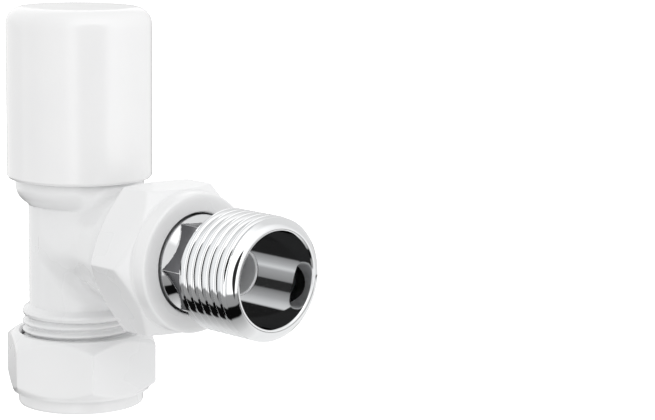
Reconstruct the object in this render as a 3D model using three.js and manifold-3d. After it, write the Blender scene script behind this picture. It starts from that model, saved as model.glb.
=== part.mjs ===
// Angled lockshield radiator valve: 15 mm compression inlet at the bottom, 1/2 inch threaded
// tail at the side, push-on cover cap over the adjusting spindle.
// Millimetres. +Z runs up the body from the pipe entry, +X runs out along the tail.

import * as THREE from 'three';
import { mergeVertices } from 'three/addons/utils/BufferGeometryUtils.js';
import Module from 'manifold-3d';

const wasm = await Module();
wasm.setup();

// ---------------------------------------------------------------- driving dimensions

const ROUND = 32;                  // facets round a large turned piece
const ROUND_BODY = 24;             // facets round the casting, fewer so that its collision is quick
const ROUND_SMALL = 20;            // facets round a small turned piece
const RING_SECTION = 6;            // facets round an O-ring's cord

const TAIL_AXIS_Z = 29.9;          // height of the outlet axis above the pipe entry
const FIT = 0.1;                   // radial running clearance of turned fits
const GAP = 0.3;                   // clearance between faces that seat on each other

const NUT_FLATS = 25;              // across flats of both nuts
const NUT_FLAT_R = NUT_FLATS / 2;
const NUT_ENVELOPE_R = NUT_FLAT_R / Math.cos(Math.PI / 6) + 0.2;   // just outside the corners
const NUT_THREAD_R = 10.65;        // female thread, cut clear of the male crests
const FINE_PITCH = 1.5;            // pitch of both nut threads
const MALE_CREST_R = 10.45;
const MALE_ROOT_R = 9.65;

const COLLAR_R = 11.25;            // round collar below the compression nut's hexagon
const COLLAR_TOP_Z = 2.4;
const NUT_TOP_Z = 13.2;
const NUT_THREAD_FLOOR_Z = 4.6;
const PIPE_HOLE_R = 7.8;           // lets a 15 mm pipe through
const SOCKET_R = 7.6;              // pipe socket in the body
const PIPE_STOP_Z = 17;

const BODY_BOTTOM_Z = 7;
const BEAD_Z = 16.7;
const BEAD_R = 10.45;
const BEAD_ROUNDING = 0.6;
const TUBE_R = 9.2;
const HEAD_R = 11.45;
const HEAD_START_Z = 39.8;
const HEAD_TOP_Z = 45.8;
const GROOVE_R = 10.55;            // floor of the groove for the cap's O-ring
const GROOVE_LOW_Z = 42.5;
const GROOVE_HIGH_Z = 43.7;
const CHAMBER_R = 7.2;
const BONNET_SEAT_Z = 36.6;
const SEAT_Z = 25;
const SEAT_BORE_R = 4.2;
const BONNET_BORE_R = 8;

const NECK_FLARE_X = 15.5;         // where the side branch reaches its full radius
const NECK_R = 10.5;
const NECK_END_X = 27.6;
const SPIGOT_START_X = 19;
const OUTLET_R = 5.2;
const SPIGOT_BORE_R = 7.5;

const UNION_BACK_X = 19.4;
const UNION_HEX_END_X = 29.2;
const UNION_FRONT_X = 32.2;
const UNION_WALL_X = 29.7;         // inner face of the nut's front wall
const UNION_HOLE_R = 8.75;
const UNION_BOSS_R = 12.1;
const UNION_BOSS_FILLET = 0.95;

const TAIL_BACK_X = 21.2;
const TAIL_SPIGOT_R = SPIGOT_BORE_R - 0.15;
const TAIL_GROOVE_R = 6.3;         // floor of the groove for the spigot's O-ring
const SNAP_GROOVE_R = 7.7;
const TAIL_FRONT_X = 51.6;
const TAIL_BARREL_R = 8.46;        // plain barrel that passes through the union nut
const TAIL_HEX_START_X = 32.6;
const TAIL_HEX_FLATS = 14.65;
const TAIL_THREAD_X = 38.5;
const TAIL_THREAD_R = 10.4775;     // 1/2 inch pipe thread, 20.955 mm major diameter
const TAIL_ROOT_R = 9.35;
const TAIL_PITCH = 1.814;
const TAIL_CRESTS = 7;
const TAIL_LIP_R = 8.94;
const TAIL_BORE_R = 8.13;
const TAIL_BORE_FLOOR_X = 42.9;
const TAIL_HOLE_R = 3.75;

const CAP_R = 12.9;
const CAP_BOTTOM_Z = 41.1;
const CAP_TOP_Z = 71.5;
const CAP_FILLET = 3;
const CAP_INNER_R = 11.75;
const CAP_INNER_TOP_Z = 69.7;
const CAP_RIBS = 6;

const STEM_R = 3.15;
const STEM_HOLE_R = STEM_R + FIT;
const GLAND_BORE_R = 4.9;
const GLAND_RING_R = 4.75;         // washer and packing
const SPINDLE_THREAD_R = 4.6;
const SPINDLE_TOP_Z = 64;
const SPINDLE_SQUARE = 4.4;        // across flats of the square that the key turns

// ---------------------------------------------------------------- geometry helpers

/** Turns a closed three.js geometry into a manifold solid. */
function solid(geometry) {
  geometry.deleteAttribute('normal');
  geometry.deleteAttribute('uv');
  const merged = mergeVertices(geometry, 1e-4);
  const mesh = new wasm.Mesh({
    numProp: 3,
    vertProperties: new Float32Array(merged.attributes.position.array),
    triVerts: new Uint32Array(merged.index.array),
  });
  return new wasm.Manifold(mesh);
}

/** Turns [radius, height] points round the Z axis. The outline runs anticlockwise. */
function turnedGeometry(outline, facets) {
  const points = outline.map(([radius, height]) => new THREE.Vector2(radius, height));
  const geometry = new THREE.LatheGeometry(points, facets);
  geometry.rotateX(Math.PI / 2);
  return geometry;
}

function turned(outline, facets = ROUND) {
  return solid(turnedGeometry(outline, facets));
}

/** The same, turned round an axis along X at the height of the outlet. */
function turnedAlongX(outline, facets = ROUND) {
  const geometry = turnedGeometry(outline, facets);
  geometry.rotateY(Math.PI / 2);
  geometry.translate(0, 0, TAIL_AXIS_Z);
  return solid(geometry);
}

/** A round bar of one radius, from one height to another. */
function bar(radius, low, high) {
  return [[0, low], [radius, low], [radius, high], [0, high]];
}

/** A ring of rectangular section, as a closed outline. */
function ring(inner, outer, low, high) {
  return [[inner, low], [outer, low], [outer, high], [inner, high], [inner, low]];
}

/** Outline points of a quarter or any other arc, from one angle to another in degrees. */
function arc(centreR, centreZ, radius, from, to, steps) {
  return Array.from({ length: steps + 1 }, (_, i) => {
    const angle = THREE.MathUtils.degToRad(from + (to - from) * i / steps);
    return [centreR + radius * Math.cos(angle), centreZ + radius * Math.sin(angle)];
  });
}

/** The circular section of an O-ring's cord, closed on itself. */
function cord(centreR, centreZ, radius) {
  const points = arc(centreR, centreZ, radius, 0, 360, RING_SECTION);
  points[RING_SECTION] = [...points[0]];
  return points;
}

/** Crest and root points of a ring-shaped thread, going up from its first root. */
function threadOutline(start, pitch, count, root, crest) {
  const points = [];
  for (let turn = 0; turn < count; turn += 1) {
    const base = start + turn * pitch;
    points.push([root, base], [crest, base + 0.35 * pitch], [crest, base + 0.65 * pitch]);
  }
  points.push([root, start + count * pitch]);
  return points;
}

/** A regular prism of the given distance across flats, from one height to another. */
function prismGeometry(sides, flats, low, high, turn) {
  const cornerR = flats / 2 / Math.cos(Math.PI / sides);
  const shape = new THREE.Shape(Array.from({ length: sides }, (_, i) => {
    const angle = turn + i * 2 * Math.PI / sides;
    return new THREE.Vector2(cornerR * Math.cos(angle), cornerR * Math.sin(angle));
  }));
  const geometry = new THREE.ExtrudeGeometry(shape, { depth: high - low, bevelEnabled: false });
  geometry.translate(0, 0, low);
  return geometry;
}

function prism(sides, flats, low, high, turn = 0) {
  return solid(prismGeometry(sides, flats, low, high, turn));
}

function prismAlongX(sides, flats, low, high, turn = 0) {
  const geometry = prismGeometry(sides, flats, low, high, turn);
  geometry.rotateY(Math.PI / 2);
  geometry.translate(0, 0, TAIL_AXIS_Z);
  return solid(geometry);
}

function box(width, depth, height, x, y, z) {
  const geometry = new THREE.BoxGeometry(width, depth, height);
  geometry.translate(x, y, z);
  return solid(geometry);
}

// ---------------------------------------------------------------- finishes

const WHITE_PAINT = { color: 0xf1f1f2, roughness: 0.25, metalness: 0 };
const WHITE_PLASTIC = { color: 0xf4f4f4, roughness: 0.2, metalness: 0 };
const CHROME = { color: 0xc9cbce, roughness: 0.06, metalness: 1 };
const BRASS = { color: 0xb99a55, roughness: 0.35, metalness: 1 };
const RUBBER = { color: 0x1b1b1c, roughness: 0.7, metalness: 0 };
const PTFE = { color: 0xe9e6dd, roughness: 0.55, metalness: 0 };
const STEEL = { color: 0x9a9da1, roughness: 0.3, metalness: 1 };

const valve = new THREE.Group();

/** Adds a finished solid to the valve as one named piece. */
function add(name, manifold, finish) {
  const { numProp, vertProperties, triVerts } = manifold.getMesh();
  const geometry = new THREE.BufferGeometry();
  geometry.setAttribute('position', new THREE.BufferAttribute(vertProperties, numProp));
  geometry.setIndex(new THREE.BufferAttribute(triVerts, 1));
  geometry.computeVertexNormals();
  const mesh = new THREE.Mesh(geometry, new THREE.MeshStandardMaterial(finish));
  mesh.name = name;
  valve.add(mesh);
}

// ---------------------------------------------------------------- valve body

/** Upright tube with the compression thread, bead, flared bowl and round head. */
function bodyUpright() {
  const crests = 2;                // the thread below these is hidden in the nut
  const threadStart = BEAD_Z - BEAD_ROUNDING - crests * FINE_PITCH;
  return turned([
    [0, BODY_BOTTOM_Z],
    [MALE_CREST_R, BODY_BOTTOM_Z],
    [MALE_CREST_R, threadStart - 0.5],
    ...threadOutline(threadStart, FINE_PITCH, crests, MALE_ROOT_R, MALE_CREST_R),
    ...arc(BEAD_R - BEAD_ROUNDING, BEAD_Z, BEAD_ROUNDING, -70, 80, 3),
    [TUBE_R, BEAD_Z + 1.1],
    ...arc(TUBE_R - 1.2, HEAD_START_Z, HEAD_R - TUBE_R + 1.2, -70, 0, 4),
    [HEAD_R, GROOVE_LOW_Z],
    [GROOVE_R, GROOVE_LOW_Z],
    [GROOVE_R, GROOVE_HIGH_Z],
    [HEAD_R, GROOVE_HIGH_Z],
    [HEAD_R, HEAD_TOP_Z],
    [0, HEAD_TOP_Z],
  ], ROUND_BODY);
}

/** Side branch that flares to the union's male thread, which the nut hides. */
function bodyBranch() {
  return turnedAlongX([
    [0, 0],
    [TUBE_R, 0],
    [TUBE_R, 9],
    [NECK_R, NECK_FLARE_X],
    [NECK_R, 18.6],
    [MALE_ROOT_R, 19.2],
    [MALE_ROOT_R, 20.4],
    [MALE_CREST_R, 21],
    [MALE_CREST_R, NECK_END_X - 0.5],
    [MALE_ROOT_R, NECK_END_X],
    [0, NECK_END_X],
  ], ROUND_BODY);
}

/** Pipe socket, seat, chamber and bonnet bore, as one turned cut. */
function bodyWaterway() {
  return turned([
    [0, BODY_BOTTOM_Z - 1],
    [9.6, BODY_BOTTOM_Z - 1],
    [9, BODY_BOTTOM_Z],
    [SOCKET_R, 9.2],
    [SOCKET_R, PIPE_STOP_Z],
    [6, PIPE_STOP_Z],
    [6, 21.6],
    [SEAT_BORE_R, 22.4],
    [SEAT_BORE_R, SEAT_Z],
    [SEAT_BORE_R + 0.6, SEAT_Z],
    [SEAT_BORE_R + 1.2, SEAT_Z - 1.2],
    [CHAMBER_R, SEAT_Z - 1.2],
    [CHAMBER_R, BONNET_SEAT_Z],
    [BONNET_BORE_R, BONNET_SEAT_Z],
    [BONNET_BORE_R, 44.5],
    [9.35, 44.5],
    [9.35, HEAD_TOP_Z + 1],
    [0, HEAD_TOP_Z + 1],
  ], ROUND_BODY);
}

function valveBody() {
  const outlet = turnedAlongX([
    [0, 4],
    [OUTLET_R, 4],
    [OUTLET_R, SPIGOT_START_X],
    [SPIGOT_BORE_R, SPIGOT_START_X],
    [SPIGOT_BORE_R, NECK_END_X + 1],
    [0, NECK_END_X + 1],
  ], ROUND_BODY);
  return bodyUpright().add(bodyBranch()).subtract(bodyWaterway()).subtract(outlet);
}

// ---------------------------------------------------------------- nuts and union

/** Cone-chamfered hexagon envelope: corners cut back at both ends. */
function unionNut() {
  const envelope = turnedAlongX([
    [0, UNION_BACK_X],
    [NUT_FLAT_R - 0.3, UNION_BACK_X],
    [NUT_ENVELOPE_R, UNION_BACK_X + 1.9],
    [NUT_ENVELOPE_R, UNION_HEX_END_X - 2.6],
    [NUT_FLAT_R, UNION_HEX_END_X],
    [0, UNION_HEX_END_X],
  ]);
  const boss = turnedAlongX([
    [0, UNION_HEX_END_X - 1],
    [UNION_BOSS_R, UNION_HEX_END_X - 1],
    ...arc(
      UNION_BOSS_R - UNION_BOSS_FILLET,
      UNION_FRONT_X - UNION_BOSS_FILLET,
      UNION_BOSS_FILLET, 0, 90, 3,
    ),
    [0, UNION_FRONT_X],
  ]);
  const bore = turnedAlongX([
    [0, UNION_BACK_X - 1],
    [NUT_THREAD_R + 0.5, UNION_BACK_X - 1],
    [NUT_THREAD_R + 0.5, UNION_BACK_X],
    [NUT_THREAD_R, UNION_BACK_X + 0.6],
    [NUT_THREAD_R, UNION_WALL_X],
    [UNION_HOLE_R, UNION_WALL_X],
    [UNION_HOLE_R, UNION_FRONT_X + 1],
    [0, UNION_FRONT_X + 1],
  ]);
  const hexagon = prismAlongX(6, NUT_FLATS, UNION_BACK_X, UNION_HEX_END_X, Math.PI / 2);
  return hexagon.intersect(envelope).add(boss).subtract(bore);
}

function compressionNut() {
  const envelope = turned([
    [0, COLLAR_TOP_Z],
    [COLLAR_R, COLLAR_TOP_Z],
    [NUT_FLAT_R, COLLAR_TOP_Z + 0.7],
    [NUT_ENVELOPE_R, COLLAR_TOP_Z + 2.3],
    [NUT_ENVELOPE_R, NUT_TOP_Z - 2],
    [NUT_FLAT_R, NUT_TOP_Z - 0.7],
    [COLLAR_R + 0.3, NUT_TOP_Z],
    [0, NUT_TOP_Z],
  ]);
  const collar = turned([
    [0, 0],
    [COLLAR_R - 0.5, 0],
    [COLLAR_R, 0.5],
    [COLLAR_R, COLLAR_TOP_Z + 1],
    [0, COLLAR_TOP_Z + 1],
  ]);
  const bore = turned([
    [0, -1],
    [PIPE_HOLE_R, -1],
    [PIPE_HOLE_R, 3],
    [9.4, NUT_THREAD_FLOOR_Z],
    [NUT_THREAD_R, NUT_THREAD_FLOOR_Z],
    [NUT_THREAD_R, NUT_TOP_Z + 1],
    [0, NUT_TOP_Z + 1],
  ]);
  const hexagon = prism(6, NUT_FLATS, COLLAR_TOP_Z, NUT_TOP_Z, Math.PI / 6);
  return hexagon.intersect(envelope).add(collar).subtract(bore);
}

/** Soft brass ring that the compression nut squeezes onto the pipe. */
function olive() {
  return turned([
    [SOCKET_R, 3.5],
    [7.95, 3.5],
    [8.75, 5.2],
    [8.75, 6.4],
    [7.95, 8.3],
    [SOCKET_R, 8.3],
    [SOCKET_R, 3.5],
  ]);
}

/** Chromed tail: sealed spigot, barrel, hexagon, and the threaded mouth. */
function tail() {
  const barrel = turnedAlongX([
    [OUTLET_R, TAIL_BACK_X],
    [TAIL_SPIGOT_R - 0.35, TAIL_BACK_X],
    [TAIL_SPIGOT_R, TAIL_BACK_X + 0.5],
    [TAIL_SPIGOT_R, 23.2],
    [TAIL_GROOVE_R, 23.2],
    [TAIL_GROOVE_R, 24.8],
    [TAIL_SPIGOT_R, 24.8],
    [TAIL_SPIGOT_R, NECK_END_X + GAP],
    [TAIL_BARREL_R, NECK_END_X + GAP],
    [TAIL_BARREL_R, 28.65],
    [SNAP_GROOVE_R, 28.65],
    [SNAP_GROOVE_R, 29.5],
    [TAIL_BARREL_R, 29.5],
    [TAIL_BARREL_R, TAIL_THREAD_X + 0.6],
    [OUTLET_R, TAIL_THREAD_X + 0.6],
    [OUTLET_R, TAIL_BACK_X],
  ]);
  const flatCutter = turnedAlongX(bar(TAIL_BARREL_R + 2, TAIL_HEX_START_X, TAIL_THREAD_X))
    .subtract(prismAlongX(6, TAIL_HEX_FLATS, TAIL_HEX_START_X - 1, TAIL_THREAD_X + 1, Math.PI / 2));
  const threadEnd = TAIL_THREAD_X + TAIL_CRESTS * TAIL_PITCH;
  const mouth = turnedAlongX([
    [TAIL_HOLE_R, TAIL_THREAD_X],
    ...threadOutline(TAIL_THREAD_X, TAIL_PITCH, TAIL_CRESTS - 1, TAIL_ROOT_R, TAIL_THREAD_R),
    [TAIL_THREAD_R, threadEnd - 0.65 * TAIL_PITCH],
    [TAIL_THREAD_R - 0.3, TAIL_FRONT_X - 0.7],
    [TAIL_LIP_R, TAIL_FRONT_X],
    [TAIL_BORE_R, TAIL_FRONT_X],
    [TAIL_BORE_R, TAIL_BORE_FLOOR_X],
    [TAIL_HOLE_R, TAIL_BORE_FLOOR_X],
    [TAIL_HOLE_R, TAIL_THREAD_X],
  ]);
  return barrel.subtract(flatCutter).add(mouth);
}

/** Split wire ring in the tail's groove, which the union nut pulls on. */
function unionSnapRing() {
  const full = turnedAlongX(ring(7.78, 9.6, 28.75, 29.4));
  return full.subtract(box(4, 4, 2.4, 29, -9, TAIL_AXIS_Z));
}

// ---------------------------------------------------------------- headwork

/** Brass insert that carries the spindle, screwed into the top of the body. */
function bonnet() {
  const outer = turned([
    [0, 36.9],
    [BONNET_BORE_R - FIT, 36.9],
    [BONNET_BORE_R - FIT, 47],
    [6.3, 47],
    [6.3, 55.8],
    [0, 55.8],
  ], ROUND_SMALL);
  const flange = prism(6, 17, HEAD_TOP_Z + GAP, 50.1);
  const bore = turned([
    [0, 36],
    [SPINDLE_THREAD_R + FIT, 36],
    [SPINDLE_THREAD_R + FIT, 46.5],
    [STEM_HOLE_R, 46.5],
    [STEM_HOLE_R, 48],
    [4.1, 48],
    [4.1, 49.2],
    [STEM_HOLE_R, 49.2],
    [STEM_HOLE_R, 50.5],
    [GLAND_BORE_R, 50.5],
    [GLAND_BORE_R, 57],
    [0, 57],
  ], ROUND_SMALL);
  return outer.add(flange).subtract(bore);
}

/** Small screwed nut that presses the packing round the stem. */
function glandNut() {
  const plug = turned(bar(GLAND_BORE_R - FIT, 53, 56.5), ROUND_SMALL);
  const head = prism(6, 11, 56.1, 58.7);
  return plug.add(head).subtract(turned(bar(STEM_HOLE_R, 52, 60), ROUND_SMALL));
}

/** Adjusting spindle: swivel foot, lifting thread, stem and key square. */
function spindle() {
  const shaft = turned([
    [0, 30.6],
    [2.6, 30.6],
    [2.6, 31.6],
    [2.2, 31.6],
    [2.2, 32.3],
    [2.6, 32.3],
    [2.6, 36.9],
    [SPINDLE_THREAD_R, 36.9],
    [SPINDLE_THREAD_R, 41.7],
    [STEM_R, 41.7],
    [STEM_R, SPINDLE_TOP_Z - 0.4],
    [STEM_R - 0.4, SPINDLE_TOP_Z],
    [0, SPINDLE_TOP_Z],
  ], ROUND_SMALL);
  const waste = turned(bar(STEM_R + 1, 59.2, SPINDLE_TOP_Z + 1), ROUND_SMALL)
    .subtract(prism(4, SPINDLE_SQUARE, 59, SPINDLE_TOP_Z + 2, Math.PI / 4));
  return shaft.subtract(waste);
}

/** Disc that closes on the seat and swivels on the spindle's foot. */
function valveDisc() {
  return turned([
    [1.65, 27.6],
    [5.1, 27.6],
    [5.1, 26.4],
    [5.5, 26.4],
    [5.5, 29.4],
    [4.2, 30.6],
    [4.2, 33.4],
    [2.75, 33.4],
    [2.75, 32.35],
    [3.15, 32.35],
    [3.15, 31.55],
    [2.75, 31.55],
    [2.75, 30.3],
    [1.65, 30.3],
    [1.65, 27.6],
  ], ROUND_SMALL);
}

function washerScrew() {
  return turned([
    [0, 24.1],
    [2.4, 24.1],
    [2.7, 24.4],
    [2.7, 25.1],
    [1.55, 25.1],
    [1.55, 29.9],
    [0, 29.9],
  ], ROUND_SMALL).subtract(box(6, 0.7, 1, 0, 0, 24));
}

/** Push-on cover: round shell with gripping ribs inside. */
function lockshieldCap() {
  const shell = turned([
    [0, CAP_BOTTOM_Z],
    [CAP_R - 0.3, CAP_BOTTOM_Z],
    [CAP_R, CAP_BOTTOM_Z + 0.4],
    ...arc(CAP_R - CAP_FILLET, CAP_TOP_Z - CAP_FILLET, CAP_FILLET, 0, 90, 5),
    [0, CAP_TOP_Z],
  ]);
  const hollow = turned([
    [0, CAP_BOTTOM_Z - 1],
    [CAP_INNER_R, CAP_BOTTOM_Z - 1],
    [CAP_INNER_R, CAP_INNER_TOP_Z - 1.5],
    [CAP_INNER_R - 1.5, CAP_INNER_TOP_Z],
    [0, CAP_INNER_TOP_Z],
  ]);
  let cap = shell.subtract(hollow);
  for (let rib = 0; rib < CAP_RIBS; rib += 1) {
    const geometry = new THREE.BoxGeometry(1.4, 1, 16);
    geometry.translate(CAP_INNER_R - 0.6, 0, 61);
    geometry.rotateZ((rib + 0.5) * 2 * Math.PI / CAP_RIBS);
    cap = cap.add(solid(geometry));
  }
  return cap;
}

// ---------------------------------------------------------------- assembly

add('valve_body', valveBody(), WHITE_PAINT);
add('lockshield_cap', lockshieldCap(), WHITE_PLASTIC);
add('cap_o_ring', turned(cord(11.12, 43.1, 0.5)), RUBBER);
add('bonnet', bonnet(), BRASS);
add('bonnet_o_ring', turned(cord(8.6, 45.15, 0.5), ROUND_SMALL), RUBBER);
add('spindle_o_ring', turned(cord(3.68, 48.6, 0.4), ROUND_SMALL), RUBBER);
add('gland_washer', turned(ring(STEM_HOLE_R, GLAND_RING_R, 50.6, 51.2), ROUND_SMALL), BRASS);
add('gland_packing', turned(ring(STEM_HOLE_R, GLAND_RING_R, 51.3, 52.9), ROUND_SMALL), PTFE);
add('gland_nut', glandNut(), BRASS);
add('spindle', spindle(), BRASS);
add('valve_disc', valveDisc(), BRASS);
add('disc_retaining_ring', turned(ring(2.3, 3.05, 31.7, 32.2), ROUND_SMALL), STEEL);
add('seat_washer', turned(ring(1.65, 5, 25.3, 27.5), ROUND_SMALL), RUBBER);
add('washer_screw', washerScrew(), BRASS);
add('union_nut', unionNut(), WHITE_PAINT);
add('tail', tail(), CHROME);
add('tail_o_ring', turnedAlongX(cord(6.88, 24, 0.52)), RUBBER);
add('union_snap_ring', unionSnapRing(), STEEL);
add('compression_nut', compressionNut(), WHITE_PAINT);
add('olive', olive(), BRASS);

export default valve;
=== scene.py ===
"""Looks of the angled lockshield radiator valve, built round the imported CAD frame.

Outlines are in millimetres, as on a turner's drawing: (radius, height along the axis), with an
optional third value, the radius that the corner is rounded to. Meshes are made in metres.
"""
import math

import bpy
import numpy as np
from mathutils import Matrix, Vector


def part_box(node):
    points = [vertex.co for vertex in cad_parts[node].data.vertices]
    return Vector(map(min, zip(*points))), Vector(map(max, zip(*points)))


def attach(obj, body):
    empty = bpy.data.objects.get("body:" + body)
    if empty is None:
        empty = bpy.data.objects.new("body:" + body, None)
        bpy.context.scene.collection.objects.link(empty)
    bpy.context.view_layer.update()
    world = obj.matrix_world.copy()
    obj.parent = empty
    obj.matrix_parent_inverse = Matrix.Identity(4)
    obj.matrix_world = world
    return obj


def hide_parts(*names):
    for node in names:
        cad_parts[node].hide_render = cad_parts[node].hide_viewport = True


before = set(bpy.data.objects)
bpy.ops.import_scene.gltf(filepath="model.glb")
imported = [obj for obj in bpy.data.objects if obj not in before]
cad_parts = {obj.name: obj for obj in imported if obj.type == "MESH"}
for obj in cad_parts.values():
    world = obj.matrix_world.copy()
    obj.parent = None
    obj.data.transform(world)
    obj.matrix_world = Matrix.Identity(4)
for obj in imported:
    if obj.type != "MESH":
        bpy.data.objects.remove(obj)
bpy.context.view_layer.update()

MM = 0.001

# ---------------------------------------------------------------- driving sizes, in millimetres

TAIL_LOW, TAIL_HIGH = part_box("tail")
TAIL_AXIS_Z = (TAIL_LOW.z + TAIL_HIGH.z) / 2 / MM
TAIL_BACK_X = TAIL_LOW.x / MM
TAIL_FRONT_X = TAIL_HIGH.x / MM
CAP_BOTTOM_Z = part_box("lockshield_cap")[0].z / MM
CAP_TOP_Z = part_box("lockshield_cap")[1].z / MM
UNION_BACK_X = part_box("union_nut")[0].x / MM
UNION_FRONT_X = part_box("union_nut")[1].x / MM
NUT_TOP_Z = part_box("compression_nut")[1].z / MM
NUT_FLATS = (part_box("compression_nut")[1].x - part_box("compression_nut")[0].x) / MM
BODY_BOTTOM_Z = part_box("valve_body")[0].z / MM
HEAD_TOP_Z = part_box("valve_body")[1].z / MM
NECK_END_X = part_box("valve_body")[1].x / MM
SPINDLE_TOP_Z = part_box("spindle")[1].z / MM

FINE_PITCH = 1.5
TAIL_PITCH = 1.814

# where an outline's axis lies, and how finely round shapes are divided
ALONG_X = Matrix.Translation((0, 0, TAIL_AXIS_Z * MM)) @ Matrix.Rotation(math.pi / 2, 4, "Y")
ALONG_Z = Matrix.Identity(4)
ARC_STEP_DEGREES = 12
RING_COLUMNS = 96


# ---------------------------------------------------------------- outlines

def arc_corner(before, corner, after, radius):
    """Points of the arc that rounds one corner of an outline."""
    corner = np.array(corner, float)
    to_before = np.array(before, float) - corner
    to_after = np.array(after, float) - corner
    room = 0.49 * min(np.linalg.norm(to_before), np.linalg.norm(to_after))
    u = to_before / np.linalg.norm(to_before)
    v = to_after / np.linalg.norm(to_after)
    half = math.acos(np.clip(u @ v, -1, 1)) / 2
    if half > math.radians(88):
        return [tuple(corner)]
    cut = min(radius / math.tan(half), room)
    radius = cut * math.tan(half)
    bisector = (u + v) / np.linalg.norm(u + v)
    centre = corner + bisector * radius / math.sin(half)
    start = corner + u * cut - centre
    sweep = math.pi - 2 * half
    turn = 1 if start[0] * (v - u)[1] - start[1] * (v - u)[0] > 0 else -1
    count = max(2, math.ceil(math.degrees(sweep) / ARC_STEP_DEGREES))
    points = []
    for i in range(count + 1):
        angle = turn * sweep * i / count
        c, s = math.cos(angle), math.sin(angle)
        points.append((centre[0] + c * start[0] - s * start[1], centre[1] + s * start[0] + c * start[1]))
    return points


def rounded(outline, closed=False):
    """Replaces each corner that has a radius by an arc."""
    points = []
    last = len(outline) - 1
    for i, corner in enumerate(outline):
        ends = not closed and i in (0, last)
        if len(corner) == 2 or ends:
            points.append(tuple(corner[:2]))
            continue
        before = outline[i - 1]
        after = outline[(i + 1) % len(outline)]
        points.extend(arc_corner(before[:2], corner[:2], after[:2], corner[2]))
    return points


def spaced(points, step):
    """Adds points along long straight stretches, so that quads stay near a given length."""
    out = [points[0]]
    for a, b in zip(points, points[1:]):
        length = math.dist(a, b)
        count = max(1, math.ceil(length / step))
        for i in range(1, count + 1):
            out.append((a[0] + (b[0] - a[0]) * i / count, a[1] + (b[1] - a[1]) * i / count))
    return out


def profile(outline, step, closed=False):
    """An outline with its corners rounded and its long stretches divided."""
    return spaced(rounded(outline, closed), step)


# ---------------------------------------------------------------- mesh makers

def finish_mesh(name, vertices, faces, place=ALONG_Z, sharp=35):
    """Links a mesh made in millimetres as an object, with smooth shading and creases kept."""
    mesh = bpy.data.meshes.new(name)
    mesh.from_pydata([tuple(v) for v in np.asarray(vertices) * MM], [], faces)
    mesh.transform(place)
    mesh.validate()
    piece = bpy.data.objects.new(name, mesh)
    bpy.context.scene.collection.objects.link(piece)
    mesh.shade_smooth()
    if sharp:
        mesh.set_sharp_from_angle(angle=math.radians(sharp))
    return piece


def swept(name, rows, angles, place=ALONG_Z, closed=False, sharp=35, split=False):
    """A surface of rows round an axis. Each row is (radius or radii round it, height).

    Closed rows join the last to the first; open rows start and end on the axis. A split piece
    leaves out the stretch between its last angle and its first, and is capped there.
    """
    if isinstance(angles, int):
        angles = np.arange(angles) * 2 * math.pi / angles
    columns = len(angles)
    vertices = []
    rings = []
    for radius, height in rows:
        radii = np.broadcast_to(np.asarray(radius, float), (columns,))
        heights = np.broadcast_to(np.asarray(height, float), (columns,))
        start = len(vertices)
        if radii.max() < 1e-6:
            rings.append([start] * columns)
            vertices.append((0.0, 0.0, float(heights[0])))
        else:
            vertices.extend(zip(radii * np.cos(angles), radii * np.sin(angles), heights))
            rings.append(list(range(start, start + columns)))
    faces = []
    pairs = list(zip(rings, rings[1:]))
    if closed:
        pairs.append((rings[-1], rings[0]))
    for low, high in pairs:
        for i in range(columns - split):
            j = (i + 1) % columns
            quad = dict.fromkeys((low[i], low[j], high[j], high[i]))
            if len(quad) > 2:
                faces.append(tuple(quad))
    if split:
        faces.append(tuple(ring[0] for ring in rings))
        faces.append(tuple(ring[-1] for ring in reversed(rings)))
    return finish_mesh(name, vertices, faces, place, sharp)


def turned(name, outline):
    """A turned ring from its closed outline, which runs anticlockwise: up the outside."""
    points = rounded(outline, closed=True)
    points = spaced(points + [points[0]], 2.0)[:-1]
    return swept(name, points, RING_COLUMNS, closed=True)


def wave(phase):
    """A smooth wave, 1 at each whole turn of the phase and 0 half way between."""
    return 0.5 + 0.5 * np.cos(2 * np.pi * phase)


def polygon_radius(angles, sides, flats, corner, turn=0.0):
    """Radius of a regular polygon at each angle, its corners rounded by a smooth minimum."""
    step = 2 * math.pi / sides
    near = (angles - turn) % step - step / 2
    faces = np.stack([flats / 2 / np.cos(np.clip(near + k * step, -1.45, 1.45)) for k in (-1, 0, 1)])
    ordered = np.sort(faces, axis=0)
    return soft_min(ordered[0], ordered[1], corner)


def soft_min(a, b, k):
    """The smaller of two values, with the crease between them rounded over a width."""
    h = np.maximum(k - np.abs(a - b), 0) / k
    return np.minimum(a, b) - h * h * k / 4


def soft_max(a, b, k):
    return -soft_min(-a, -b, k)


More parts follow.
